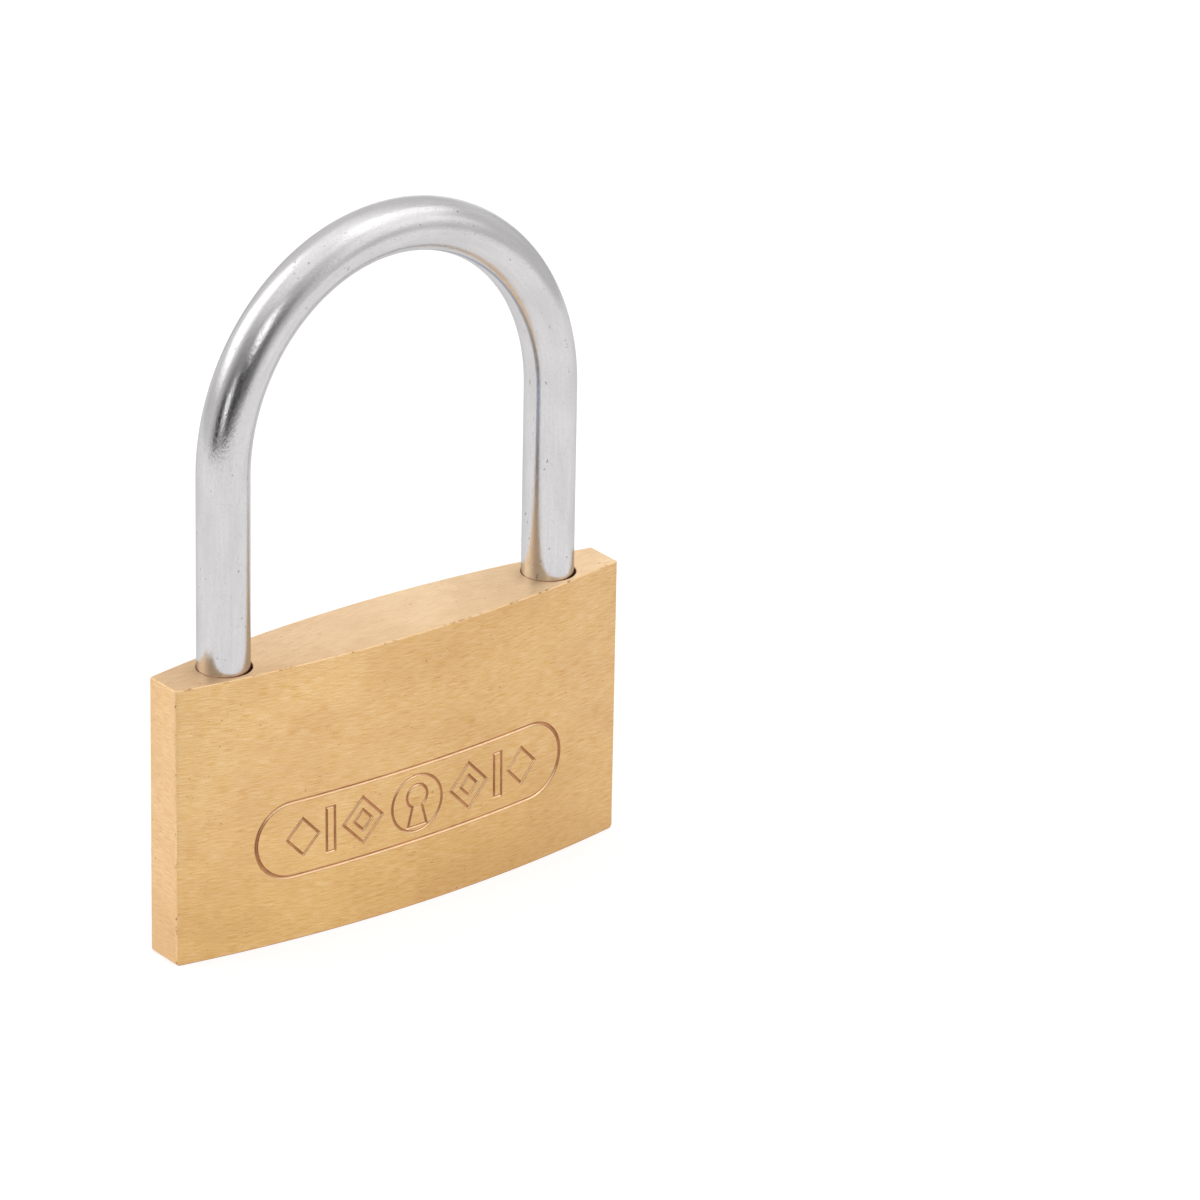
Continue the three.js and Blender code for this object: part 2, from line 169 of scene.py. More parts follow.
class Nodes:
    """Short calls for building a node tree."""

    def __init__(self, tree):
        self.tree = tree

    def put(self, socket, value):
        if isinstance(value, bpy.types.NodeSocket):
            self.tree.links.new(value, socket)
        else:
            socket.default_value = value

    def node(self, kind, inputs=(), **settings):
        made = self.tree.nodes.new("ShaderNode" + kind)
        for key, value in settings.items():
            setattr(made, key, value)
        for key, value in dict(inputs).items():
            self.put(made.inputs[key], value)
        return made

    def noise(self, places, stretch, detail, rough):
        """Fractal noise, with its frequency per millimetre on each axis in stretch."""
        scaled = self.node("VectorMath", {0: places, 1: stretch}, operation="MULTIPLY").outputs[0]
        inputs = {"Vector": scaled, "Scale": 1.0, "Detail": detail, "Roughness": rough}
        return self.node("TexNoise", inputs).outputs["Fac"]

    def remap(self, value, low, high, to_low=0.0, to_high=1.0):
        inputs = {0: value, 1: low, 2: high, 3: to_low, 4: to_high}
        return self.node("MapRange", inputs, interpolation_type="SMOOTHSTEP").outputs[0]

    def maths(self, operation, a, b=0.0):
        return self.node("Math", {0: a, 1: b}, operation=operation).outputs[0]

    def scaled(self, value, factor):
        return self.maths("MULTIPLY", value, factor)

    def axis(self, places, index):
        return self.node("SeparateXYZ", {0: places}).outputs[index]

    def mix(self, share, a, b, how="MIX"):
        made = self.node("Mix", data_type="RGBA", blend_type=how)
        for socket, value in ((made.inputs[0], share), (made.inputs[6], a), (made.inputs[7], b)):
            self.put(socket, value)
        return made.outputs[2]

    def window(self, value, middle, half, soft):
        """1 where the value is within half of the middle, with a soft edge on both sides."""
        away = self.maths("ABSOLUTE", self.maths("SUBTRACT", value, middle))
        return self.remap(away, half - soft, half + soft, 1.0, 0.0)


class Shader(Nodes):
    """A Principled material."""

    def __init__(self, name, metallic=1.0):
        self.material = bpy.data.materials.new(name)
        self.material.use_nodes = True
        super().__init__(self.material.node_tree)
        self.surface = self.tree.nodes["Principled BSDF"]
        self.surface.inputs["Metallic"].default_value = metallic

    def surface_from(self, **values):
        for key, value in values.items():
            self.put(self.surface.inputs[key.replace("_", " ")], value)

    def places(self, attribute=None):
        """Coordinates in millimetres: the object's own, or a mesh attribute that holds them."""
        if attribute:
            return self.node("Attribute", attribute_name=attribute).outputs["Vector"]
        own = self.node("TexCoord").outputs["Object"]
        return self.node("VectorMath", {0: own, "Scale": 1 / MM}, operation="SCALE").outputs[0]

    def bump(self, height, distance):
        inputs = {"Height": height, "Distance": distance, "Strength": 1.0}
        self.put(self.surface.inputs["Normal"], self.node("Bump", inputs).outputs[0])


def rgba(red, green, blue):
    return (red, green, blue, 1.0)


# Materials -----------------------------------------------------------------------


def brushed_brass(name, light, dark, along, across, worn, painted_light_tints, rough=0.42, lean=0.0):
    """Satin brass: streaks along one axis, clouds, a few dark pits, and a sheen spread across the grain.

    along and across are the noise's frequencies per mm on each axis, and worn is the strength of the
    brown scores. Each painted light tint in the seventh argument is (axis, where it starts, where it is
    fullest, tint): painted light and shade, the colour multiplied by the tint, more and more from one
    place to the other. lean turns the grain about Y, in degrees.
    """
    shader = Shader(name)
    square = shader.places()
    turn = {"Vector": square, "Angle": math.radians(lean)}
    places = shader.node("VectorRotate", turn, rotation_type="Y_AXIS").outputs[0]
    along, across = Vector(along), Vector(across)
    streaks = shader.noise(places, along + across, 2.0, 0.5)
    hairs = shader.noise(places, (along + across) * 1.6, 2.0, 0.6)
    scores = shader.noise(places, along * 1.2 + across * 1.1, 1.0, 0.5)
    grit = shader.noise(places, (along.normalized() + across.normalized()) * 6.5, 1.0, 0.5)
    clouds = shader.noise(places, (0.09, 0.13, 0.16), 3.0, 0.55)
    spots = shader.noise(places, (1.6, 3.0, 3.0), 1.0, 0.5)
    where = shader.noise(places, (0.2, 0.25, 0.25), 1.0, 0.5)

    pit = shader.scaled(shader.remap(spots, 0.73, 0.77), shader.remap(where, 0.42, 0.6))
    lines = shader.maths("ADD", shader.scaled(streaks, 0.42), shader.scaled(hairs, 0.4))
    grain = shader.maths("ADD", lines, shader.scaled(grit, 0.18))
    patch = shader.remap(where, 0.38, 0.62, 0.35 * worn, worn)
    score = shader.scaled(shader.remap(scores, 0.55, 0.68), patch)

    tone = shader.mix(shader.remap(grain, 0.38, 0.62), rgba(*dark), rgba(*light))
    tone = shader.mix(shader.remap(clouds, 0.38, 0.7, 0.0, 0.27), tone, rgba(0.6, 0.34, 0.15))
    tone = shader.mix(score, tone, rgba(0.56, 0.26, 0.075))
    tone = shader.mix(shader.scaled(pit, 0.55), tone, rgba(0.3, 0.14, 0.06))
    # Painted light and shade: each tint darkens or lightens the colour along one axis.
    for index, untouched, fullest, tint in painted_light_tints:
        share = shader.remap(shader.axis(square, index), untouched, fullest)
        tone = shader.mix(share, tone, rgba(*tint), "MULTIPLY")
    spread = dict(enumerate(across.normalized()))
    shader.surface_from(
        Base_Color=tone,
        Roughness=shader.remap(grain, 0.3, 0.7, rough + 0.03, rough - 0.03),
        Anisotropic=0.75,
        Tangent=shader.node("CombineXYZ", spread).outputs[0],
    )
    shader.bump(shader.maths("SUBTRACT", grain, shader.scaled(pit, 0.8)), 0.002 * MM)
    return shader.material


def edge_brass():
    """The case's edges: a little brighter than the faces, with brown nicks, and painted shade that
    darkens them round the foot.
    """
    shader = Shader("brass_edge")
    places = shader.places()
    nicks = shader.noise(places, (1.1, 1.6, 1.4), 4.0, 0.65)
    worn = shader.noise(places, (0.25, 0.25, 0.25), 2.0, 0.5)
    untouched = shader.mix(shader.remap(worn, 0.35, 0.65), rgba(0.78, 0.52, 0.27), rgba(0.86, 0.61, 0.36))
    nick = shader.remap(nicks, 0.55, 0.66)
    nicked = shader.mix(shader.scaled(nick, 0.8), untouched, rgba(0.4, 0.19, 0.09))
    # Painted shade: the edges turn dark brown towards the underside.
    low = shader.remap(shader.axis(places, 2), 0.3, 0.1, 0.0, 0.8)
    painted_foot_shade = shader.mix(low, nicked, rgba(0.42, 0.19, 0.1))
    shader.surface_from(Base_Color=painted_foot_shade, Roughness=shader.remap(worn, 0.3, 0.7, 0.4, 0.52))
    shader.bump(shader.maths("SUBTRACT", worn, nick), 0.03 * MM)
    return shader.material


def bored_brass():
    """Drilled and reamed walls: redder, with fine rings, and a trace of grease."""
    shader = Shader("brass_bored")
    places = shader.places()
    rings = shader.noise(places, (0.6, 0.6, 14.0), 2.0, 0.5)
    smear = shader.noise(places, (0.5, 0.5, 0.3), 3.0, 0.6)
    tone = shader.mix(shader.remap(smear, 0.35, 0.65), rgba(0.68, 0.33, 0.18), rgba(0.82, 0.44, 0.26))
    shader.surface_from(Base_Color=tone, Roughness=shader.remap(rings, 0.3, 0.7, 0.3, 0.48))
    shader.bump(rings, 0.01 * MM)
    return shader.material


def engraved_brass():
    """The engraving's grooves: dark and reddish, with a painted highlight on the flank that looks up."""
    shader = Shader("brass_engraved")
    places = shader.places()
    grit = shader.noise(places, (5.0, 5.0, 5.0), 3.0, 0.6)
    tarnish = shader.noise(places, (0.5, 0.5, 0.5), 2.0, 0.5)
    tone = shader.mix(shader.remap(tarnish, 0.3, 0.7), rgba(0.40, 0.19, 0.09), rgba(0.54, 0.28, 0.14))
    # Painted highlight: the more a flank faces up, the brighter its colour.
    facing = shader.axis(shader.node("TexCoord").outputs["Normal"], 2)
    lit = shader.mix(shader.remap(facing, 0.1, 0.75), tone, rgba(0.95, 0.72, 0.45))
    shader.surface_from(Base_Color=lit, Roughness=shader.remap(grit, 0.3, 0.7, 0.36, 0.55))
    shader.bump(grit, 0.01 * MM)
    return shader.material


def turned_brass():
    """Lathe-turned brass: faint rings, brighter than the case."""
    shader = Shader("brass_turned")
    places = shader.places()
    rings = shader.noise(places, (7.0, 7.0, 7.0), 2.0, 0.5)
    stain = shader.noise(places, (0.4, 0.4, 0.4), 3.0, 0.6)
    tone = shader.mix(shader.remap(stain, 0.3, 0.7), rgba(0.66, 0.42, 0.18), rgba(0.8, 0.55, 0.27))
    shader.surface_from(Base_Color=tone, Roughness=shader.remap(rings, 0.3, 0.7, 0.24, 0.36))
    shader.bump(rings, 0.006 * MM)
    return shader.material


def plated_steel():
    """The shackle's satin nickel over a drawn rod: faint lengthwise lines, speckle and small nicks.

    Its noise lies in rod_place, the rod's own coordinates as if it were straight, in millimetres.
    """
    shader = Shader("nickel_plating")
    places = shader.places("rod_place")
    x, y, _ = shader.node("SeparateXYZ", {0: places}).outputs
    lines = shader.noise(places, (6.0, 6.0, 0.12), 2.0, 0.6)
    speckle = shader.noise(places, (6.0, 6.0, 3.2), 3.0, 0.6)
    clouds = shader.noise(places, (0.35, 0.35, 0.12), 3.0, 0.55)
    dents = shader.noise(places, (1.5, 1.5, 0.8), 3.0, 0.6)
    dashes = shader.noise(places, (1.6, 1.6, 0.42), 2.0, 0.5)
    nick = shader.maths("MAXIMUM", shader.remap(dents, 0.68, 0.72), shader.remap(dashes, 0.735, 0.765))

    cloudy = shader.remap(clouds, 0.3, 0.7)
    tone = shader.mix(cloudy, rgba(0.572, 0.559, 0.566), rgba(0.642, 0.628, 0.635))
    tone = shader.mix(shader.remap(lines, 0.3, 0.7, 0.0, 0.15), tone, rgba(0.44, 0.433, 0.437))
    tone = shader.mix(shader.remap(speckle, 0.54, 0.72, 0.0, 0.35), tone, rgba(0.42, 0.41, 0.412))
    tone = shader.mix(shader.scaled(nick, 0.6), tone, rgba(0.22, 0.21, 0.21))
    # A painted reflection: a thin bluish dark line along the bow's inner side, which fades out down the
    # leg.
    height = shader.axis(shader.places(), 2)
    inner = shader.scaled(shader.remap(x, 0.5, 1.0), shader.remap(height, 41.0, 50.0))
    painted_reflection_line = shader.scaled(shader.window(y, -1.36, 0.2, 0.13), inner)
    tone = shader.mix(shader.scaled(painted_reflection_line, 0.7), tone, rgba(0.2, 0.25, 0.34))

    sandy = shader.remap(speckle, 0.3, 0.7, 0.11, 0.2)
    rough = shader.maths("ADD", sandy, shader.remap(clouds, 0.3, 0.7, 0, 0.04))
    shader.surface_from(Base_Color=tone, Roughness=rough, Specular_Tint=rgba(0.72, 0.72, 0.72))
    relief = shader.maths("ADD", speckle, shader.scaled(lines, 0.15))
    shader.bump(shader.maths("SUBTRACT", relief, nick), 0.018 * MM)
    return shader.material


def ground_steel(name, light, dark):
    """Plain ground or drawn steel inside the lock, lightly oiled."""
    shader = Shader(name)
    places = shader.places()
    scratches = shader.noise(places, (3.0, 9.0, 9.0), 3.0, 0.6)
    oil = shader.noise(places, (0.6, 0.6, 0.6), 3.0, 0.6)
    tone = shader.mix(shader.remap(oil, 0.35, 0.65), rgba(*dark), rgba(*light))
    shader.surface_from(Base_Color=tone, Roughness=shader.remap(scratches, 0.3, 0.7, 0.22, 0.38))
    shader.bump(scratches, 0.006 * MM)
    return shader.material


def table_top():
    """A pale table, lit from within so that the object throws only a faint shadow."""
    shader = Shader("pale_table", metallic=0.0)
    faint = shader.noise(shader.places(), (0.02, 0.02, 0.02), 2.0, 0.5)
    tone = shader.mix(shader.remap(faint, 0.3, 0.7), rgba(0.3, 0.3, 0.3), rgba(0.33, 0.33, 0.33))
    shader.surface_from(Base_Color=tone, Roughness=0.9)
    shader.surface_from(Emission_Color=rgba(1, 1, 1), Emission_Strength=0.72)
    return shader.material


BRASS_FACE = brushed_brass(
    "brass_face",
    light=(0.85, 0.609, 0.341),
    dark=(0.73, 0.446, 0.159),
    along=(0.42, 0, 0),
    across=(0, 0, 10.5),
    worn=0.5,
    # Painted light on the front: painted shade darker towards the bottom and towards the right, and a
    # pale painted sheen at the right end.
    painted_light_tints=(
        (2, 22, 0, (0.95, 0.92, 0.83)),
        (0, -20, 8, (0.9, 0.878, 0.855)),
        (0, 14, 28, (1.01, 1.02, 1.07)),
    ),
    lean=-4.3,
)
# The top's colours are painted lighter than the front's, as painted light from above, and its tint is
# painted shade that darkens it towards the left end.
BRASS_TOP = brushed_brass(
    "brass_top",
    light=(0.97, 0.75, 0.49),
    dark=(0.86, 0.625, 0.38),
    along=(0.4, 0, 0),
    across=(0, 8.5, 0),
    worn=0.24,
    painted_light_tints=((0, 8, -27, (0.85, 0.795, 0.75)),),
    rough=0.47,
)
BRASS_END = brushed_brass(
    "brass_end",
    light=(0.86, 0.6, 0.33),
    dark=(0.73, 0.47, 0.235),
    along=(0, 0.5, 0),
    across=(0, 0, 8.5),
    worn=0.32,
    # Painted shade: the end grows a little darker towards the bottom.
    painted_light_tints=((2, 20, 0, (0.985, 0.97, 0.945)),),
)
BRASS_EDGE = edge_brass()
BRASS_BORED = bored_brass()
BRASS_ENGRAVED = engraved_brass()
BRASS_TURNED = turned_brass()
NICKEL = plated_steel()
STEEL = ground_steel("ground_steel", (0.6, 0.6, 0.61), (0.42, 0.42, 0.43))
WIRE = ground_steel("spring_wire", (0.5, 0.5, 0.51), (0.34, 0.33, 0.33))


# Mesh helpers -----------------------------------------------------------------------


CREASE = 27  # degrees


def finished(name, bm, *materials, crease=CREASE):
    """A piece from a bmesh, shaded smooth but for its sharp edges."""
    bmesh.ops.recalc_face_normals(bm, faces=bm.faces)
    mesh = bpy.data.meshes.new(name)
    bm.to_mesh(mesh)
    bm.free()
    for material in materials:
        mesh.materials.append(material)
    mesh.shade_smooth()
    mesh.set_sharp_from_angle(angle=math.radians(crease))
    piece = bpy.data.objects.new(name, mesh)
    bpy.context.scene.collection.objects.link(piece)
    return piece


def ringed(bm, rings, closed=False):
    """Skins a list of vertex rings. An open row of rings gets a face at each end."""
    made = [[bm.verts.new(point) for point in ring] for ring in rings]
    pairs = list(zip(made, made[1:] + made[:1])) if closed else list(zip(made, made[1:]))
    for ring, after in pairs:
        for i in range(len(ring)):
            j = (i + 1) % len(ring)
            bm.faces.new((ring[i], ring[j], after[j], after[i]))
    if not closed:
        bm.faces.new(reversed(made[0]))
        bm.faces.new(made[-1])
    return made


def circle(centre, across, up, radius, sides):
    """A ring of points around a centre, in the plane of the two directions."""
    turns = [2 * math.pi * i / sides for i in range(sides)]
    return [centre + radius * (math.cos(a) * across + math.sin(a) * up) for a in turns]


# For each axis: two directions across it, and the axis itself.
AXES = {
    "X": (Vector((0, 1, 0)), Vector((0, 0, 1)), Vector((1, 0, 0))),
    "Y": (Vector((0, 0, 1)), Vector((1, 0, 0)), Vector((0, 1, 0))),
    "Z": (Vector((1, 0, 0)), Vector((0, 1, 0)), Vector((0, 0, 1))),
}


def turned_mesh(bm, axis, centre, profile, sides):
    """A turned solid: profile lists (distance along the axis, radius) from one end to the other."""
    across, up, along = AXES[axis]
    centres = [Vector(centre) + reach * along for reach, _ in profile]
    ringed(bm, [circle(at, across, up, radius, sides) for at, (_, radius) in zip(centres, profile)])


def turned(name, axis, centre, profile, material, sides=48):
    """A turned piece in one material."""
    bm = bmesh.new()
    turned_mesh(bm, axis, centre, profile, sides)
    return finished(name, bm, material)


def box_mesh(bm, low, high):
    size = Vector(high) - Vector(low)
    place = Matrix.Translation((Vector(low) + Vector(high)) / 2) @ Matrix.Diagonal((*size, 1))
    bmesh.ops.create_cube(bm, size=1, matrix=place)


def prism_mesh(bm, outline, low, high, lift):
    """A prism of a flat outline between two heights. lift(u, v, height) places its points."""
    ringed(bm, [[lift(u, v, height) for u, v in outline] for height in (low, high)])


def cutter(build, slot=0):
    """A solid that is only used to cut or to add, with its faces in one material slot."""
    bm = bmesh.new()
    build(bm)
    bmesh.ops.recalc_face_normals(bm, faces=bm.faces)
    for face in bm.faces:
        face.material_index = slot
    mesh = bpy.data.meshes.new("cutter")
    bm.to_mesh(mesh)
    bm.free()
    made = bpy.data.objects.new("cutter", mesh)
    bpy.context.scene.collection.objects.link(made)
    return made


def carve(piece, tools, operation="DIFFERENCE"):
    """Cuts the tools out of a piece, or adds them, and keeps the result as its mesh."""
    for tool in tools:
        for material in piece.data.materials:
            tool.data.materials.append(material)
        modifier = piece.modifiers.new("carve", "BOOLEAN")
        modifier.operation = operation
        modifier.solver = "MANIFOLD"
        modifier.object = tool
    graph = bpy.context.evaluated_depsgraph_get()
    mesh = bpy.data.meshes.new_from_object(piece.evaluated_get(graph))
    piece.modifiers.clear()
    piece.data = mesh
    for tool in tools:
        bpy.data.objects.remove(tool)
    mesh.shade_smooth()
    mesh.set_sharp_from_angle(angle=math.radians(CREASE))
    return piece


def stand_for(piece, node):
    """The piece takes a CAD node's place and body."""
    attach(piece, BODY_OF[node])
    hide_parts(node)
    return piece


# Case ----------------------------------------------------------------------------------


def face_depth(x):
    """How far the front and back faces stand from the middle plane."""
    return CASE_HIGH.y - FACE_RADIUS + math.sqrt(FACE_RADIUS**2 - x * x)


def case_block():
    """The solid block with its faces in their slots, its feet rounded and its other edges broken."""
    xs = [CASE_HIGH.x * (2 * i / FACE_STEPS - 1) for i in range(FACE_STEPS + 1)]
    outline = [(x, -face_depth(x)) for x in xs] + [(x, face_depth(x)) for x in reversed(xs)]
    bm = bmesh.new()
    prism_mesh(bm, outline, CASE_LOW.z, CASE_HIGH.z, lambda x, y, z: Vector((x, y, z)))
    bmesh.ops.recalc_face_normals(bm, faces=bm.faces)
    for face in bm.faces:
        if abs(face.normal.z) > 0.5:
            face.material_index = TOP
        elif abs(face.normal.x) > 0.9:
            face.material_index = END
    round_edges(bm, [edge for edge in sharp_edges(bm) if is_foot(edge)], FOOT_ROUND, 4, END)
    round_edges(bm, sharp_edges(bm), EDGE_ROUND, 3, EDGE)
    materials = (BRASS_FACE, BRASS_TOP, BRASS_END, BRASS_EDGE, BRASS_BORED, BRASS_ENGRAVED)
    return finished("case_fine", bm, *materials)


def sharp_edges(bm):
    return [edge for edge in bm.edges if edge.calc_face_angle(0) > SHARP_EDGE]


def round_edges(bm, edges, radius, segments, slot):
    """Rounds the edges over, with the new faces in one material slot."""
    bmesh.ops.bevel(
        bm, geom=edges, offset=radius, segments=segments, profile=0.5, affect="EDGES", material=slot
    )


def is_foot(edge):
    """The two short edges where the ends meet the underside."""
    a, b = (vert.co for vert in edge.verts)
    return max(a.z, b.z) < CASE_LOW.z + EDGE_ROUND and min(abs(a.x), abs(b.x)) > CASE_HIGH.x - EDGE_ROUND


def bore(axis, centre, start, end, radius, lip, sides=64):
    """A drilled hole that runs past the surface at its end, with a small countersunk lip there."""
    mouth = radius + lip
    profile = [(start, radius), (end - lip, radius), (end, mouth), (end + PAST, mouth + PAST)]
    return cutter(lambda bm: turned_mesh(bm, axis, centre, profile, sides), BORE)


def pin_bore(node):
    """The hole of a pin that is pressed in from the back."""
    low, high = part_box(node)
    x, z = (low.x + high.x) / 2, (low.z + high.z) / 2
    radius = (high.x - low.x) / 2 + PIN_BORE_GAP
    return bore("Y", (x, 0, z), low.y - 0.2 * MM, face_depth(x), radius, SMALL_LIP, 40)


def case_bores():
    tools = [
        bore("Z", (LEG_BORE_SHIFT - LEG_X, 0, 0), HEEL_FLOOR, CASE_HIGH.z, LEG_BORE, LEG_LIP),
        bore("Z", (LEG_BORE_SHIFT + LEG_X, 0, 0), TOE_FLOOR, CASE_HIGH.z, LEG_BORE, LEG_LIP),
        cutter(lambda bm: turned_mesh(bm, "Z", (0, 0, 0), plug_bore_profile(), 96), BORE),
        bore("X", (0, 0, LATCH_Z), LATCH_BORE_START, CASE_HIGH.x, LATCH_BORE, LATCH_LIP),
        pin_bore("heel_pin"),
        pin_bore("plug_pin"),
    ]
    for z in STACK_Z.values():
        tools.append(bore("X", (0, 0, z), 0, CASE_HIGH.x, STACK_BORE, SMALL_LIP, 40))
    return tools


def plug_bore_profile():
    """The plug's bore from the underside up to its shoulder, then the cam's pocket up to the latch."""
    return [
        (CASE_LOW.z - PAST, PLUG_BORE + PLUG_LIP),
        (CASE_LOW.z, PLUG_BORE + PLUG_LIP),
        (CASE_LOW.z + PLUG_LIP, PLUG_BORE),
        (PLUG_BORE_TOP, PLUG_BORE),
        (PLUG_BORE_TOP, POCKET_RADIUS),
        (LATCH_Z, POCKET_RADIUS),
    ]


# Engraving: every line is a closed run of points in the panel's own plane, in metres.


def arc(cx, cz, radius, start, end, steps):
    """Points of a circle from one angle to another, in degrees."""
    turns = [math.radians(start + (end - start) * i / steps) for i in range(steps + 1)]
    return [(cx + radius * math.cos(a), cz + radius * math.sin(a)) for a in turns]


def stadium(width, height):
    """The panel's outline: a bar with round ends."""
    radius = height / 2
    reach = width / 2 - radius
    return arc(reach, 0, radius, -90, 90, 24) + arc(-reach, 0, radius, 90, 270, 24)


def keyhole():
    """A round eye over a flared skirt."""
    eye = arc(0, 0.9 * MM, 1.45 * MM, -62, 242, 28)
    foot_half, foot = 1.35 * MM, -2.9 * MM
    return eye + [(-foot_half, foot), (foot_half, foot)]


def lozenge(cx, half_width, half_height):
    return [(cx + half_width, 0), (cx, half_height), (cx - half_width, 0), (cx, -half_height)]


def bar(cx, half_width, half_height):
    return [
        (cx + half_width, half_height),
        (cx - half_width, half_height),
        (cx - half_width, -half_height),
        (cx + half_width, -half_height),
    ]


def ornaments():
    """A keyhole in a ring, and lozenges and bars on both sides of it."""
    ring = arc(0, 0, 3.55 * MM, 0, 351, 39)
    runs = [keyhole(), ring]
    for side in (-MM, MM):
        runs.append(lozenge(7.6 * side, 2.7 * MM, 2.9 * MM))
        runs.append(lozenge(7.6 * side, 1.2 * MM, 1.3 * MM))
        runs.append(bar(12 * side, 0.55 * MM, 2.8 * MM))
        runs.append(lozenge(15.7 * side, 2.1 * MM, 2.3 * MM))
    return runs


def refined(run, step):
    """The same closed run with points no further apart than a step."""
    points = []
    for (ax, az), (bx, bz) in zip(run, run[1:] + run[:1]):
        count = max(1, math.ceil(math.hypot(bx - ax, bz - az) / step))
        points += [(ax + (bx - ax) * i / count, az + (bz - az) * i / count) for i in range(count)]
    return points


def on_face(u, v):
    """A point of the panel's plane, laid on the curved front face."""
    x = PANEL_X + u * math.cos(PANEL_LEAN) - v * math.sin(PANEL_LEAN)
    z = PANEL_Z + u * math.sin(PANEL_LEAN) + v * math.cos(PANEL_LEAN)
    return Vector((x, -face_depth(x), z))


def engraving_line(run, radius):
    """A closed tube along a run, which cuts a rounded groove into the face."""
    path = [on_face(u, v) for u, v in refined(run, LINE_STEP)]
    out = Vector((0, -1, 0))
    turns = [2 * math.pi * (k + 0.5) / LINE_SIDES for k in range(LINE_SIDES)]
    rings = []
    for before, here, after in zip(path[-1:] + path, path, path[1:] + path[:1]):
        onward = (after - here).normalized()
        along = ((here - before).normalized() + onward).normalized()
        mitre = 1 / max(along.dot(onward), 1 / LINE_MITRE)
        side = along.cross(out).normalized()
        depth = side.cross(along).normalized()
        rings.append([here + radius * (math.cos(a) * mitre * side + math.sin(a) * depth) for a in turns])
    return cutter(lambda bm: ringed(bm, rings, closed=True), ENGRAVED)


def make_case():
    case = carve(case_block(), case_bores())
    lines = [engraving_line(stadium(PANEL_WIDTH, PANEL_HEIGHT), RIM_LINE)]
    lines += [engraving_line(run, ORNAMENT_LINE) for run in ornaments()]
    return stand_for(carve(case, lines), "case")


# Shackle ----------------------------------------------------------------------------------


def rod_stations():
    """The rod's rings from heel to toe: (point on the centre line, direction, radius).

    A negative radius marks a ring of the notch, which is cut back on its inner side.
    """
    up, down = Vector((0, 0, 1)), Vector((0, 0, -1))
    chamfered = ROD_RADIUS - LEG_CHAMFER
    shoulder = ROD_RADIUS - NECK_RADIUS
    heel = [
        (ROD_LOW.z, chamfered),
        (ROD_LOW.z + LEG_CHAMFER, ROD_RADIUS),
        (NECK_LOW - ROD_SOFT, ROD_RADIUS),
        (NECK_LOW, ROD_RADIUS - ROD_SOFT),
        (NECK_LOW, NECK_RADIUS),
        (NECK_HIGH, NECK_RADIUS),
        (NECK_HIGH + shoulder, ROD_RADIUS),
        (BOW_START, ROD_RADIUS),
    ]
    stations = [(Vector((-LEG_X, 0, z)), up, radius) for z, radius in heel]
    for i in range(BOW_STEPS + 1):
        angle = math.pi * (1 - i / BOW_STEPS)
        point = Vector((LEG_X * math.cos(angle), 0, LEG_TOP + BOW_RISE * math.sin(angle)))
        way = Vector((LEG_X * math.sin(angle), 0, -BOW_RISE * math.cos(angle))).normalized()
        stations.append((point, way, ROD_RADIUS))
    notch_low, notch_high = LATCH_Z - NOTCH_HALF, LATCH_Z + NOTCH_HALF
    toe = [
        (BOW_START, ROD_RADIUS),
        (notch_high, ROD_RADIUS),
        (notch_high, -ROD_RADIUS),
        (notch_low, -ROD_RADIUS),
        (notch_low, ROD_RADIUS),
        (TOE_END + LEG_CHAMFER, ROD_RADIUS),
        (TOE_END, chamfered),
    ]
    stations += [(Vector((LEG_X, 0, z)), down, radius) for z, radius in toe]
    return stations


def make_shackle():
    """The swept rod. rod_place keeps each point's place on the same rod as if it were straight."""
    bm = bmesh.new()
    layer = bm.verts.layers.float_vector.new("rod_place")
    side = Vector((0, 1, 0))
    notch_floor = LEG_X - ROD_RADIUS + NOTCH_DEPTH
    rings, places, run, last = [], [], 0.0, None
    for point, way, radius in rod_stations():
        run += (point - last).length if last else 0.0
        last = point
        ring = circle(point, side.cross(way), side, abs(radius), ROD_SIDES)
        if radius < 0:
            ring = [Vector((max(p.x, notch_floor), p.y, p.z)) for p in ring]
        rings.append(ring)
        straight = circle(Vector((0, 0, run)), *AXES["Z"][:2], abs(radius), ROD_SIDES)
        places.append([place / MM for place in straight])
    for ring, straight in zip(ringed(bm, rings), places):
        for vert, place in zip(ring, straight):
            vert[layer] = place
    bmesh.ops.remove_doubles(bm, verts=bm.verts, dist=0.001 * MM)
    return stand_for(finished("shackle_fine", bm, NICKEL), "shackle")


# Latch, plug and pins -----------------------------------------------------------------------


def rounded_bar(start, end, radius, edge):
    """A bar's profile with its two rims rounded over."""
    half = edge * (1 - math.sqrt(0.5))
    return [
        (start, radius - edge),
        (start + half, radius - half),
        (start + edge, radius),
        (end - edge, radius),
        (end - half, radius - half),
        (end, radius - edge),
    ]


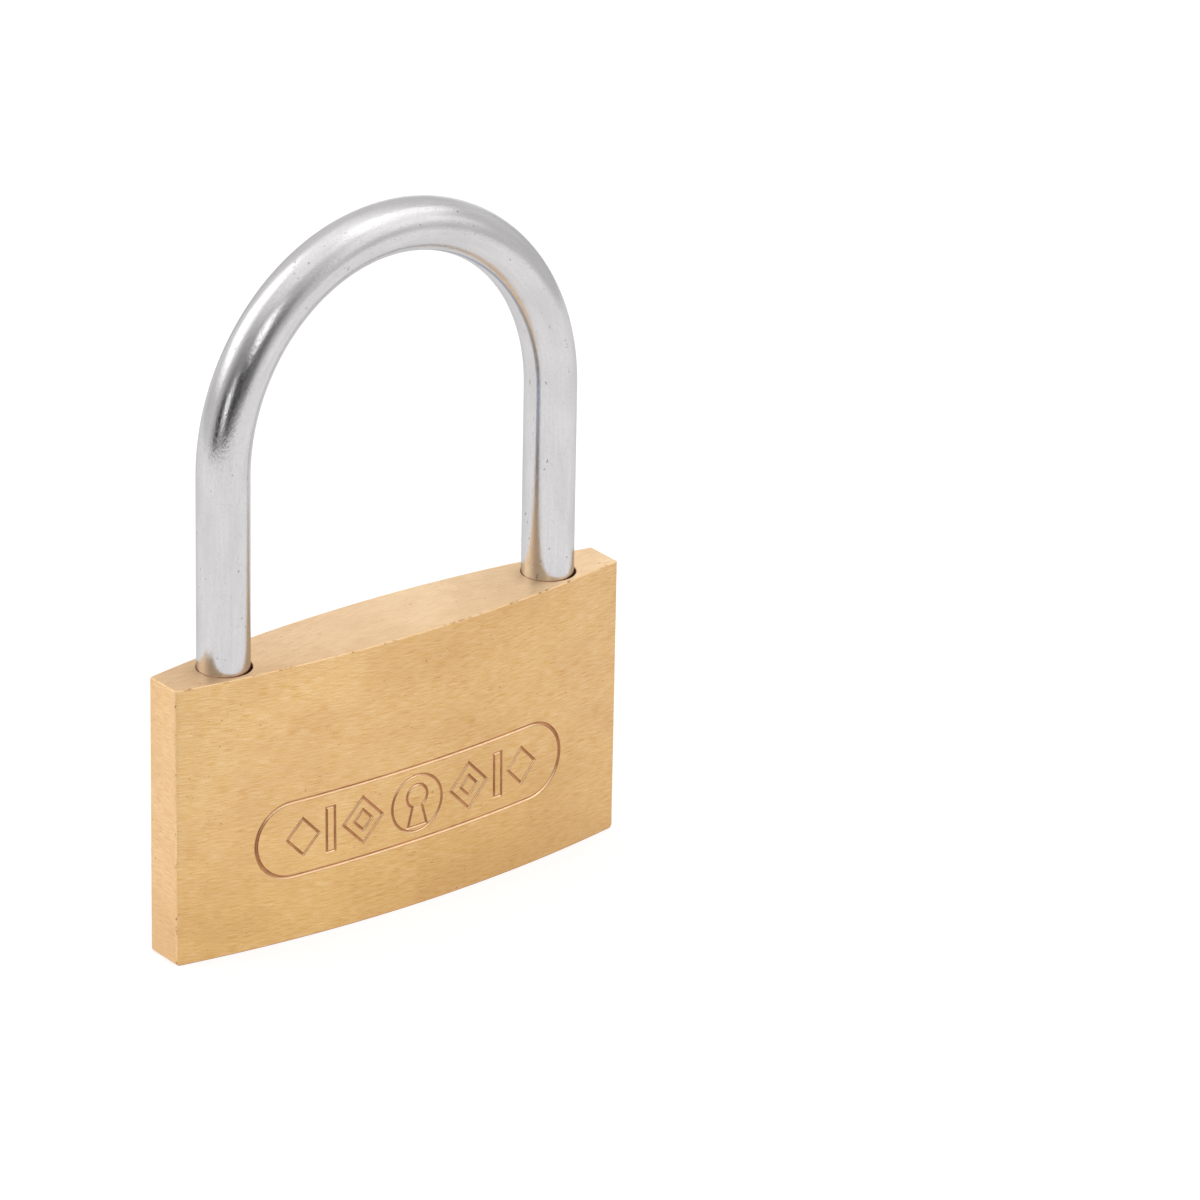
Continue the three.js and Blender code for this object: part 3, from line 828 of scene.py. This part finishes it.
def make_latch():
    """The bolt: a thin tail in the spring, a slot for the cam's pin below, and a bevelled nose."""
    low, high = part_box("latch")
    body = low.x + LATCH_TAIL
    profile = [
        (low.x, LATCH_TAIL_RADIUS - 0.2 * MM),
        (low.x + 0.2 * MM, LATCH_TAIL_RADIUS),
        (body, LATCH_TAIL_RADIUS),
        (body, LATCH_RADIUS - 0.2 * MM),
        (body + 0.2 * MM, LATCH_RADIUS),
        (high.x - 0.1 * MM, LATCH_RADIUS),
        (high.x, LATCH_RADIUS - 0.1 * MM),
    ]
    wide = 2 * LATCH_RADIUS
    slot_low = (CAM_X - CAM_PIN - 0.15 * MM, -wide, LATCH_Z - wide)
    slot_high = (-CAM_X + CAM_PIN + 0.35 * MM, wide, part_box("plug_cam")[1].z + 0.4 * MM)
    crest = LATCH_Z + LATCH_RADIUS
    wedge = [
        (high.x - LATCH_BEVEL - PAST, crest + PAST),
        (high.x + PAST, crest - LATCH_BEVEL - PAST),
        (high.x + PAST, crest + PAST),
    ]
    tools = [
        cutter(lambda bm: box_mesh(bm, slot_low, slot_high)),
        cutter(lambda bm: prism_mesh(bm, wedge, -wide, wide, lambda x, z, y: Vector((x, y, z)))),
    ]
    latch = turned("latch_fine", "X", (0, 0, LATCH_Z), profile, STEEL)
    stand_for(carve(latch, tools), "latch")


def keyway_outline():
    """The keyway in plan, with a ward standing in from each side. The pins come from +Y."""
    points = [
        (-1.0, -3.3), (1.0, -3.3), (1.0, -1.7), (0.3, -1.4), (0.3, -0.7), (1.0, -0.4),
        (1.0, 2.6), (-1.0, 2.6), (-1.0, 1.3), (-0.4, 1.0), (-0.4, 0.5), (-1.0, 0.2),
    ]
    return [(x * MM, y * MM) for x, y in points]


def make_plug():
    """The cylinder: a groove for its pin, a slot for the cam, the keyway and the pin chambers."""
    profile = [
        (PLUG_LOW.z, PLUG_RADIUS - PLUG_EDGE),
        (PLUG_LOW.z + PLUG_EDGE, PLUG_RADIUS),
        (GROOVE_LOW, PLUG_RADIUS),
        (GROOVE_LOW, GROOVE_RADIUS),
        (GROOVE_HIGH, GROOVE_RADIUS),
        (GROOVE_HIGH, PLUG_RADIUS),
        (PLUG_HIGH.z - PLUG_EDGE, PLUG_RADIUS),
        (PLUG_HIGH.z, PLUG_RADIUS - PLUG_EDGE),
    ]
    wide = 2 * PLUG_RADIUS
    slot = ((-PLUG_SLOT_HALF, -wide, PLUG_SLOT_FLOOR), (PLUG_SLOT_HALF, wide, PLUG_HIGH.z + PAST))
    keyway = (keyway_outline(), PLUG_LOW.z - PAST, KEYWAY_TOP)
    chamber = [(-0.2 * MM, CHAMBER_RADIUS), (wide, CHAMBER_RADIUS)]
    tools = [
        cutter(lambda bm: box_mesh(bm, *slot)),
        cutter(lambda bm: prism_mesh(bm, *keyway, lambda x, y, z: Vector((x, y, z)))),
    ]
    for z in STACK_Z.values():
        tools.append(cutter(lambda bm: turned_mesh(bm, "Y", (0, 0, z), chamber, 40)))
    plug = turned("plug_fine", "Z", (0, 0, 0), profile, BRASS_TURNED, sides=96)
    stand_for(carve(plug, tools), "plug")


def make_cam():
    """A disc on the plug's end, with its tongue in the plug's slot and its pin in the latch's."""
    low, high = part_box("plug_cam")
    disc = rounded_bar(DISC_LOW, DISC_HIGH, high.x, CAM_EDGE)
    pin = [(DISC_HIGH - SUNK, CAM_PIN), (high.z - CAM_EDGE, CAM_PIN), (high.z, CAM_PIN - CAM_EDGE)]
    tongue = (
        (-TONGUE_HALF_WIDTH, -TONGUE_HALF_LENGTH, low.z),
        (TONGUE_HALF_WIDTH, TONGUE_HALF_LENGTH, DISC_LOW + 0.3 * MM),
    )
    cam = turned("plug_cam_fine", "Z", (0, 0, 0), disc, STEEL, sides=64)
    tools = [
        cutter(lambda bm: turned_mesh(bm, "Z", (CAM_X, CAM_Y, 0), pin, 32)),
        cutter(lambda bm: box_mesh(bm, *tongue)),
    ]
    stand_for(carve(cam, tools, "UNION"), "plug_cam")


def make_bar(node, axis, material, edge=0.15 * MM):
    """A plain round pin or plug in the place of its CAD node, with rounded rims."""
    low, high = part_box(node)
    index = "XYZ".index(axis)
    radius = (high - low)[(index + 1) % 3] / 2
    centre = (low + high) / 2
    centre[index] = 0
    profile = rounded_bar(low[index], high[index], radius, edge)
    stand_for(turned(node + "_fine", axis, centre, profile, material), node)


def make_key_pin(i):
    """A pin whose pointed tip faces the keyway."""
    low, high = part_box(f"key_pin_{i}")
    radius = (high.x - low.x) / 2
    tip = 0.35 * MM
    rim = 0.2 * MM
    shoulder = low.y + radius - tip
    profile = [
        (low.y, tip * 0.6),
        (low.y + 0.12 * MM, tip),
        (shoulder, radius - 0.05 * MM),
        (shoulder + 0.1 * MM, radius),
        (high.y - rim, radius),
        (high.y, radius - rim),
    ]
    pin = turned(f"key_pin_{i}_fine", "Y", (0, 0, STACK_Z[i]), profile, BRASS_TURNED, sides=32)
    stand_for(pin, f"key_pin_{i}")


def make_spring(node, axis, turns, wire, pushes):
    """A coil spring with closed ends in the place of its CAD node."""
    low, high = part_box(node)
    index = "XYZ".index(axis)
    across, up, along = AXES[axis]
    start, end = low[index], high[index]
    coil = (high - low)[(index + 1) % 3] / 2 - wire
    middle = (low + high) / 2
    middle[index] = 0
    lay = 2 * wire
    free = end - start - 2 * wire - 2 * lay
    rings, shares = [], []
    for i in range((turns + 2) * COIL_STEPS + 1):
        turn = i / COIL_STEPS
        angle = 2 * math.pi * turn
        closed = min(turn, 1) + min(turns + 2 - turn, 1) - 1
        share = min(max((turn - 1) / turns, 0), 1)
        rise = wire + lay * min(turn, 1) + free * share + lay * max(turn - turns - 1, 0)
        out = math.cos(angle) * across + math.sin(angle) * up
        centre = middle + (start + rise) * along + coil * out
        rings.append(circle(centre, out, along, wire * (0.9 + 0.1 * closed), WIRE_SIDES))
        shares += [share] * WIRE_SIDES
    bm = bmesh.new()
    ringed(bm, rings)
    spring = finished(node + "_fine", bm, WIRE, crease=50)
    fixed, moving = middle.copy(), middle.copy()
    fixed[index], moving[index] = start, end
    if sum(corner[index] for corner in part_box(pushes)) < start + end:
        fixed, moving = moving, fixed
        shares = [1 - share for share in shares]
    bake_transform(spring)
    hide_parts(node)


def make_mechanism():
    make_latch()
    make_plug()
    make_cam()
    make_bar("heel_pin", "Y", STEEL, 0.1 * MM)
    make_bar("plug_pin", "Y", STEEL, 0.1 * MM)
    make_bar("latch_bore_plug", "X", BRASS_EDGE, 0.08 * MM)
    make_spring("heel_spring", "Z", 4, 0.28 * MM, "shackle")
    make_spring("latch_spring", "X", 6, 0.18 * MM, "latch")
    for i in STACKS:
        make_key_pin(i)
        make_bar(f"driver_pin_{i}", "X", STEEL)
        make_bar(f"chamber_plug_{i}", "X", BRASS_EDGE, 0.06 * MM)
        make_spring(f"pin_spring_{i}", "X", 6, 0.14 * MM, f"driver_pin_{i}")


# Stage ------------------------------------------------------------------------------------------


def make_camera():
    """A long lens, left of the front and above it, with its slight roll."""
    azimuth, elevation, roll = CAMERA_AZIMUTH, CAMERA_ELEVATION, CAMERA_ROLL
    flat = Vector((math.sin(azimuth), -math.cos(azimuth), 0))
    back = math.cos(elevation) * flat + Vector((0, 0, math.sin(elevation)))
    level = Vector((math.cos(azimuth), math.sin(azimuth), 0))
    right = math.cos(roll) * level + math.sin(roll) * back.cross(level)
    up = back.cross(right)
    camera = bpy.data.objects.new("camera", bpy.data.cameras.new("camera"))
    camera.data.sensor_width = CAMERA_SENSOR
    camera.data.lens = CAMERA_LENS
    camera.data.clip_end = CAMERA_REACH
    aim = Vector((0, 0, AIM_HEIGHT)) + AIM_RIGHT * right + AIM_UP * up
    turn = Matrix((right, up, back)).transposed().to_4x4()
    camera.matrix_world = Matrix.Translation(aim + CAMERA_DISTANCE * back) @ turn
    bpy.context.scene.collection.objects.link(camera)
    bpy.context.scene.camera = camera


def flat_sheet(name, points, material):
    bm = bmesh.new()
    bm.faces.new([bm.verts.new(point) for point in points])
    return finished(name, bm, material)


def make_floor():
    """A round table, and a wide floor just under it that carries its tone on but isn't reflected."""
    material = table_top()
    disc = circle(Vector((0, 0, -TABLE_DROP)), *AXES["Z"][:2], TABLE_RADIUS, 96)
    flat_sheet("table", disc, material)
    signs = ((-1, -1), (1, -1), (1, 1), (-1, 1))
    corners = [(x * FLOOR_HALF, y * FLOOR_HALF, -FLOOR_DROP) for x, y in signs]
    floor = flat_sheet("floor", corners, material)
    floor.visible_glossy = False


# The room's own light at two elevations in degrees, which it passes between.
ROOM_LOW, ROOM_HIGH = (25, 0.8), (85, 1.38)

# Soft patches of the room: azimuth, elevation, half width, half height and softness in degrees, then
# strength. A later patch covers the ones before it.
STUDIO = (
    (122, 22, 32, 22, 12, 0.93),
    (-55, 2, 41, 38, 15, 0.43),
    (-38, 3, 44, 16, 12, 0.2),
    (-78, 0, 12, 11, 5, 0.03),
    (-37, 3, 12, 14, 6, 0.05),
    (-136, 39, 23, 25, 9, 2.2),
    (-12, 62, 34, 14, 9, 1.25),
    (50, 60, 30, 17, 10, 2.0),
    (60, 45, 26, 12, 8, 1.75),
    (38, 26, 22, 17, 10, 1.35),
    (167, 14, 16, 24, 9, 0.98),
    (-173, 14, 9, 24, 7, 1.05),
    (140, -3, 13, 10, 5, 1.5),
    (-39, 30, 4.5, 4, 3, 3.2),
    (-29, 25, 5.5, 8, 4, 2.8),
    (-61.5, 6, 3.4, 8, 2.5, 3.2),
)


def make_studio():
    """The room: pale, with softboxes and lamps, and a dim side behind the camera."""
    world = bpy.data.worlds.new("studio")
    world.use_nodes = True
    bpy.context.scene.world = world
    nodes = Nodes(world.node_tree)
    way = nodes.node("SeparateXYZ", {0: nodes.node("TexCoord").outputs["Generated"]})
    x, y, z = way.outputs
    azimuth = nodes.maths("ARCTAN2", x, nodes.scaled(y, -1))
    elevation = nodes.maths("ARCSINE", z)
    (low, dim), (high, bright) = ROOM_LOW, ROOM_HIGH
    light = nodes.remap(elevation, math.radians(low), math.radians(high), dim, bright)
    for *patch, strength in STUDIO:
        turn, rise, half_width, half_height, soft = (math.radians(a) for a in patch)
        across = nodes.window(azimuth, turn, half_width, soft)
        up = nodes.window(elevation, rise, half_height, soft)
        change = nodes.scaled(nodes.scaled(across, up), nodes.maths("SUBTRACT", strength, light))
        light = nodes.maths("ADD", light, change)
    background = world.node_tree.nodes["Background"]
    nodes.put(background.inputs["Strength"], light)
    nodes.put(background.inputs["Color"], rgba(1, 1, 1))
    bpy.context.scene.view_settings.view_transform = "Standard"


make_camera()
make_case()
make_shackle()
make_mechanism()
make_floor()
make_studio()
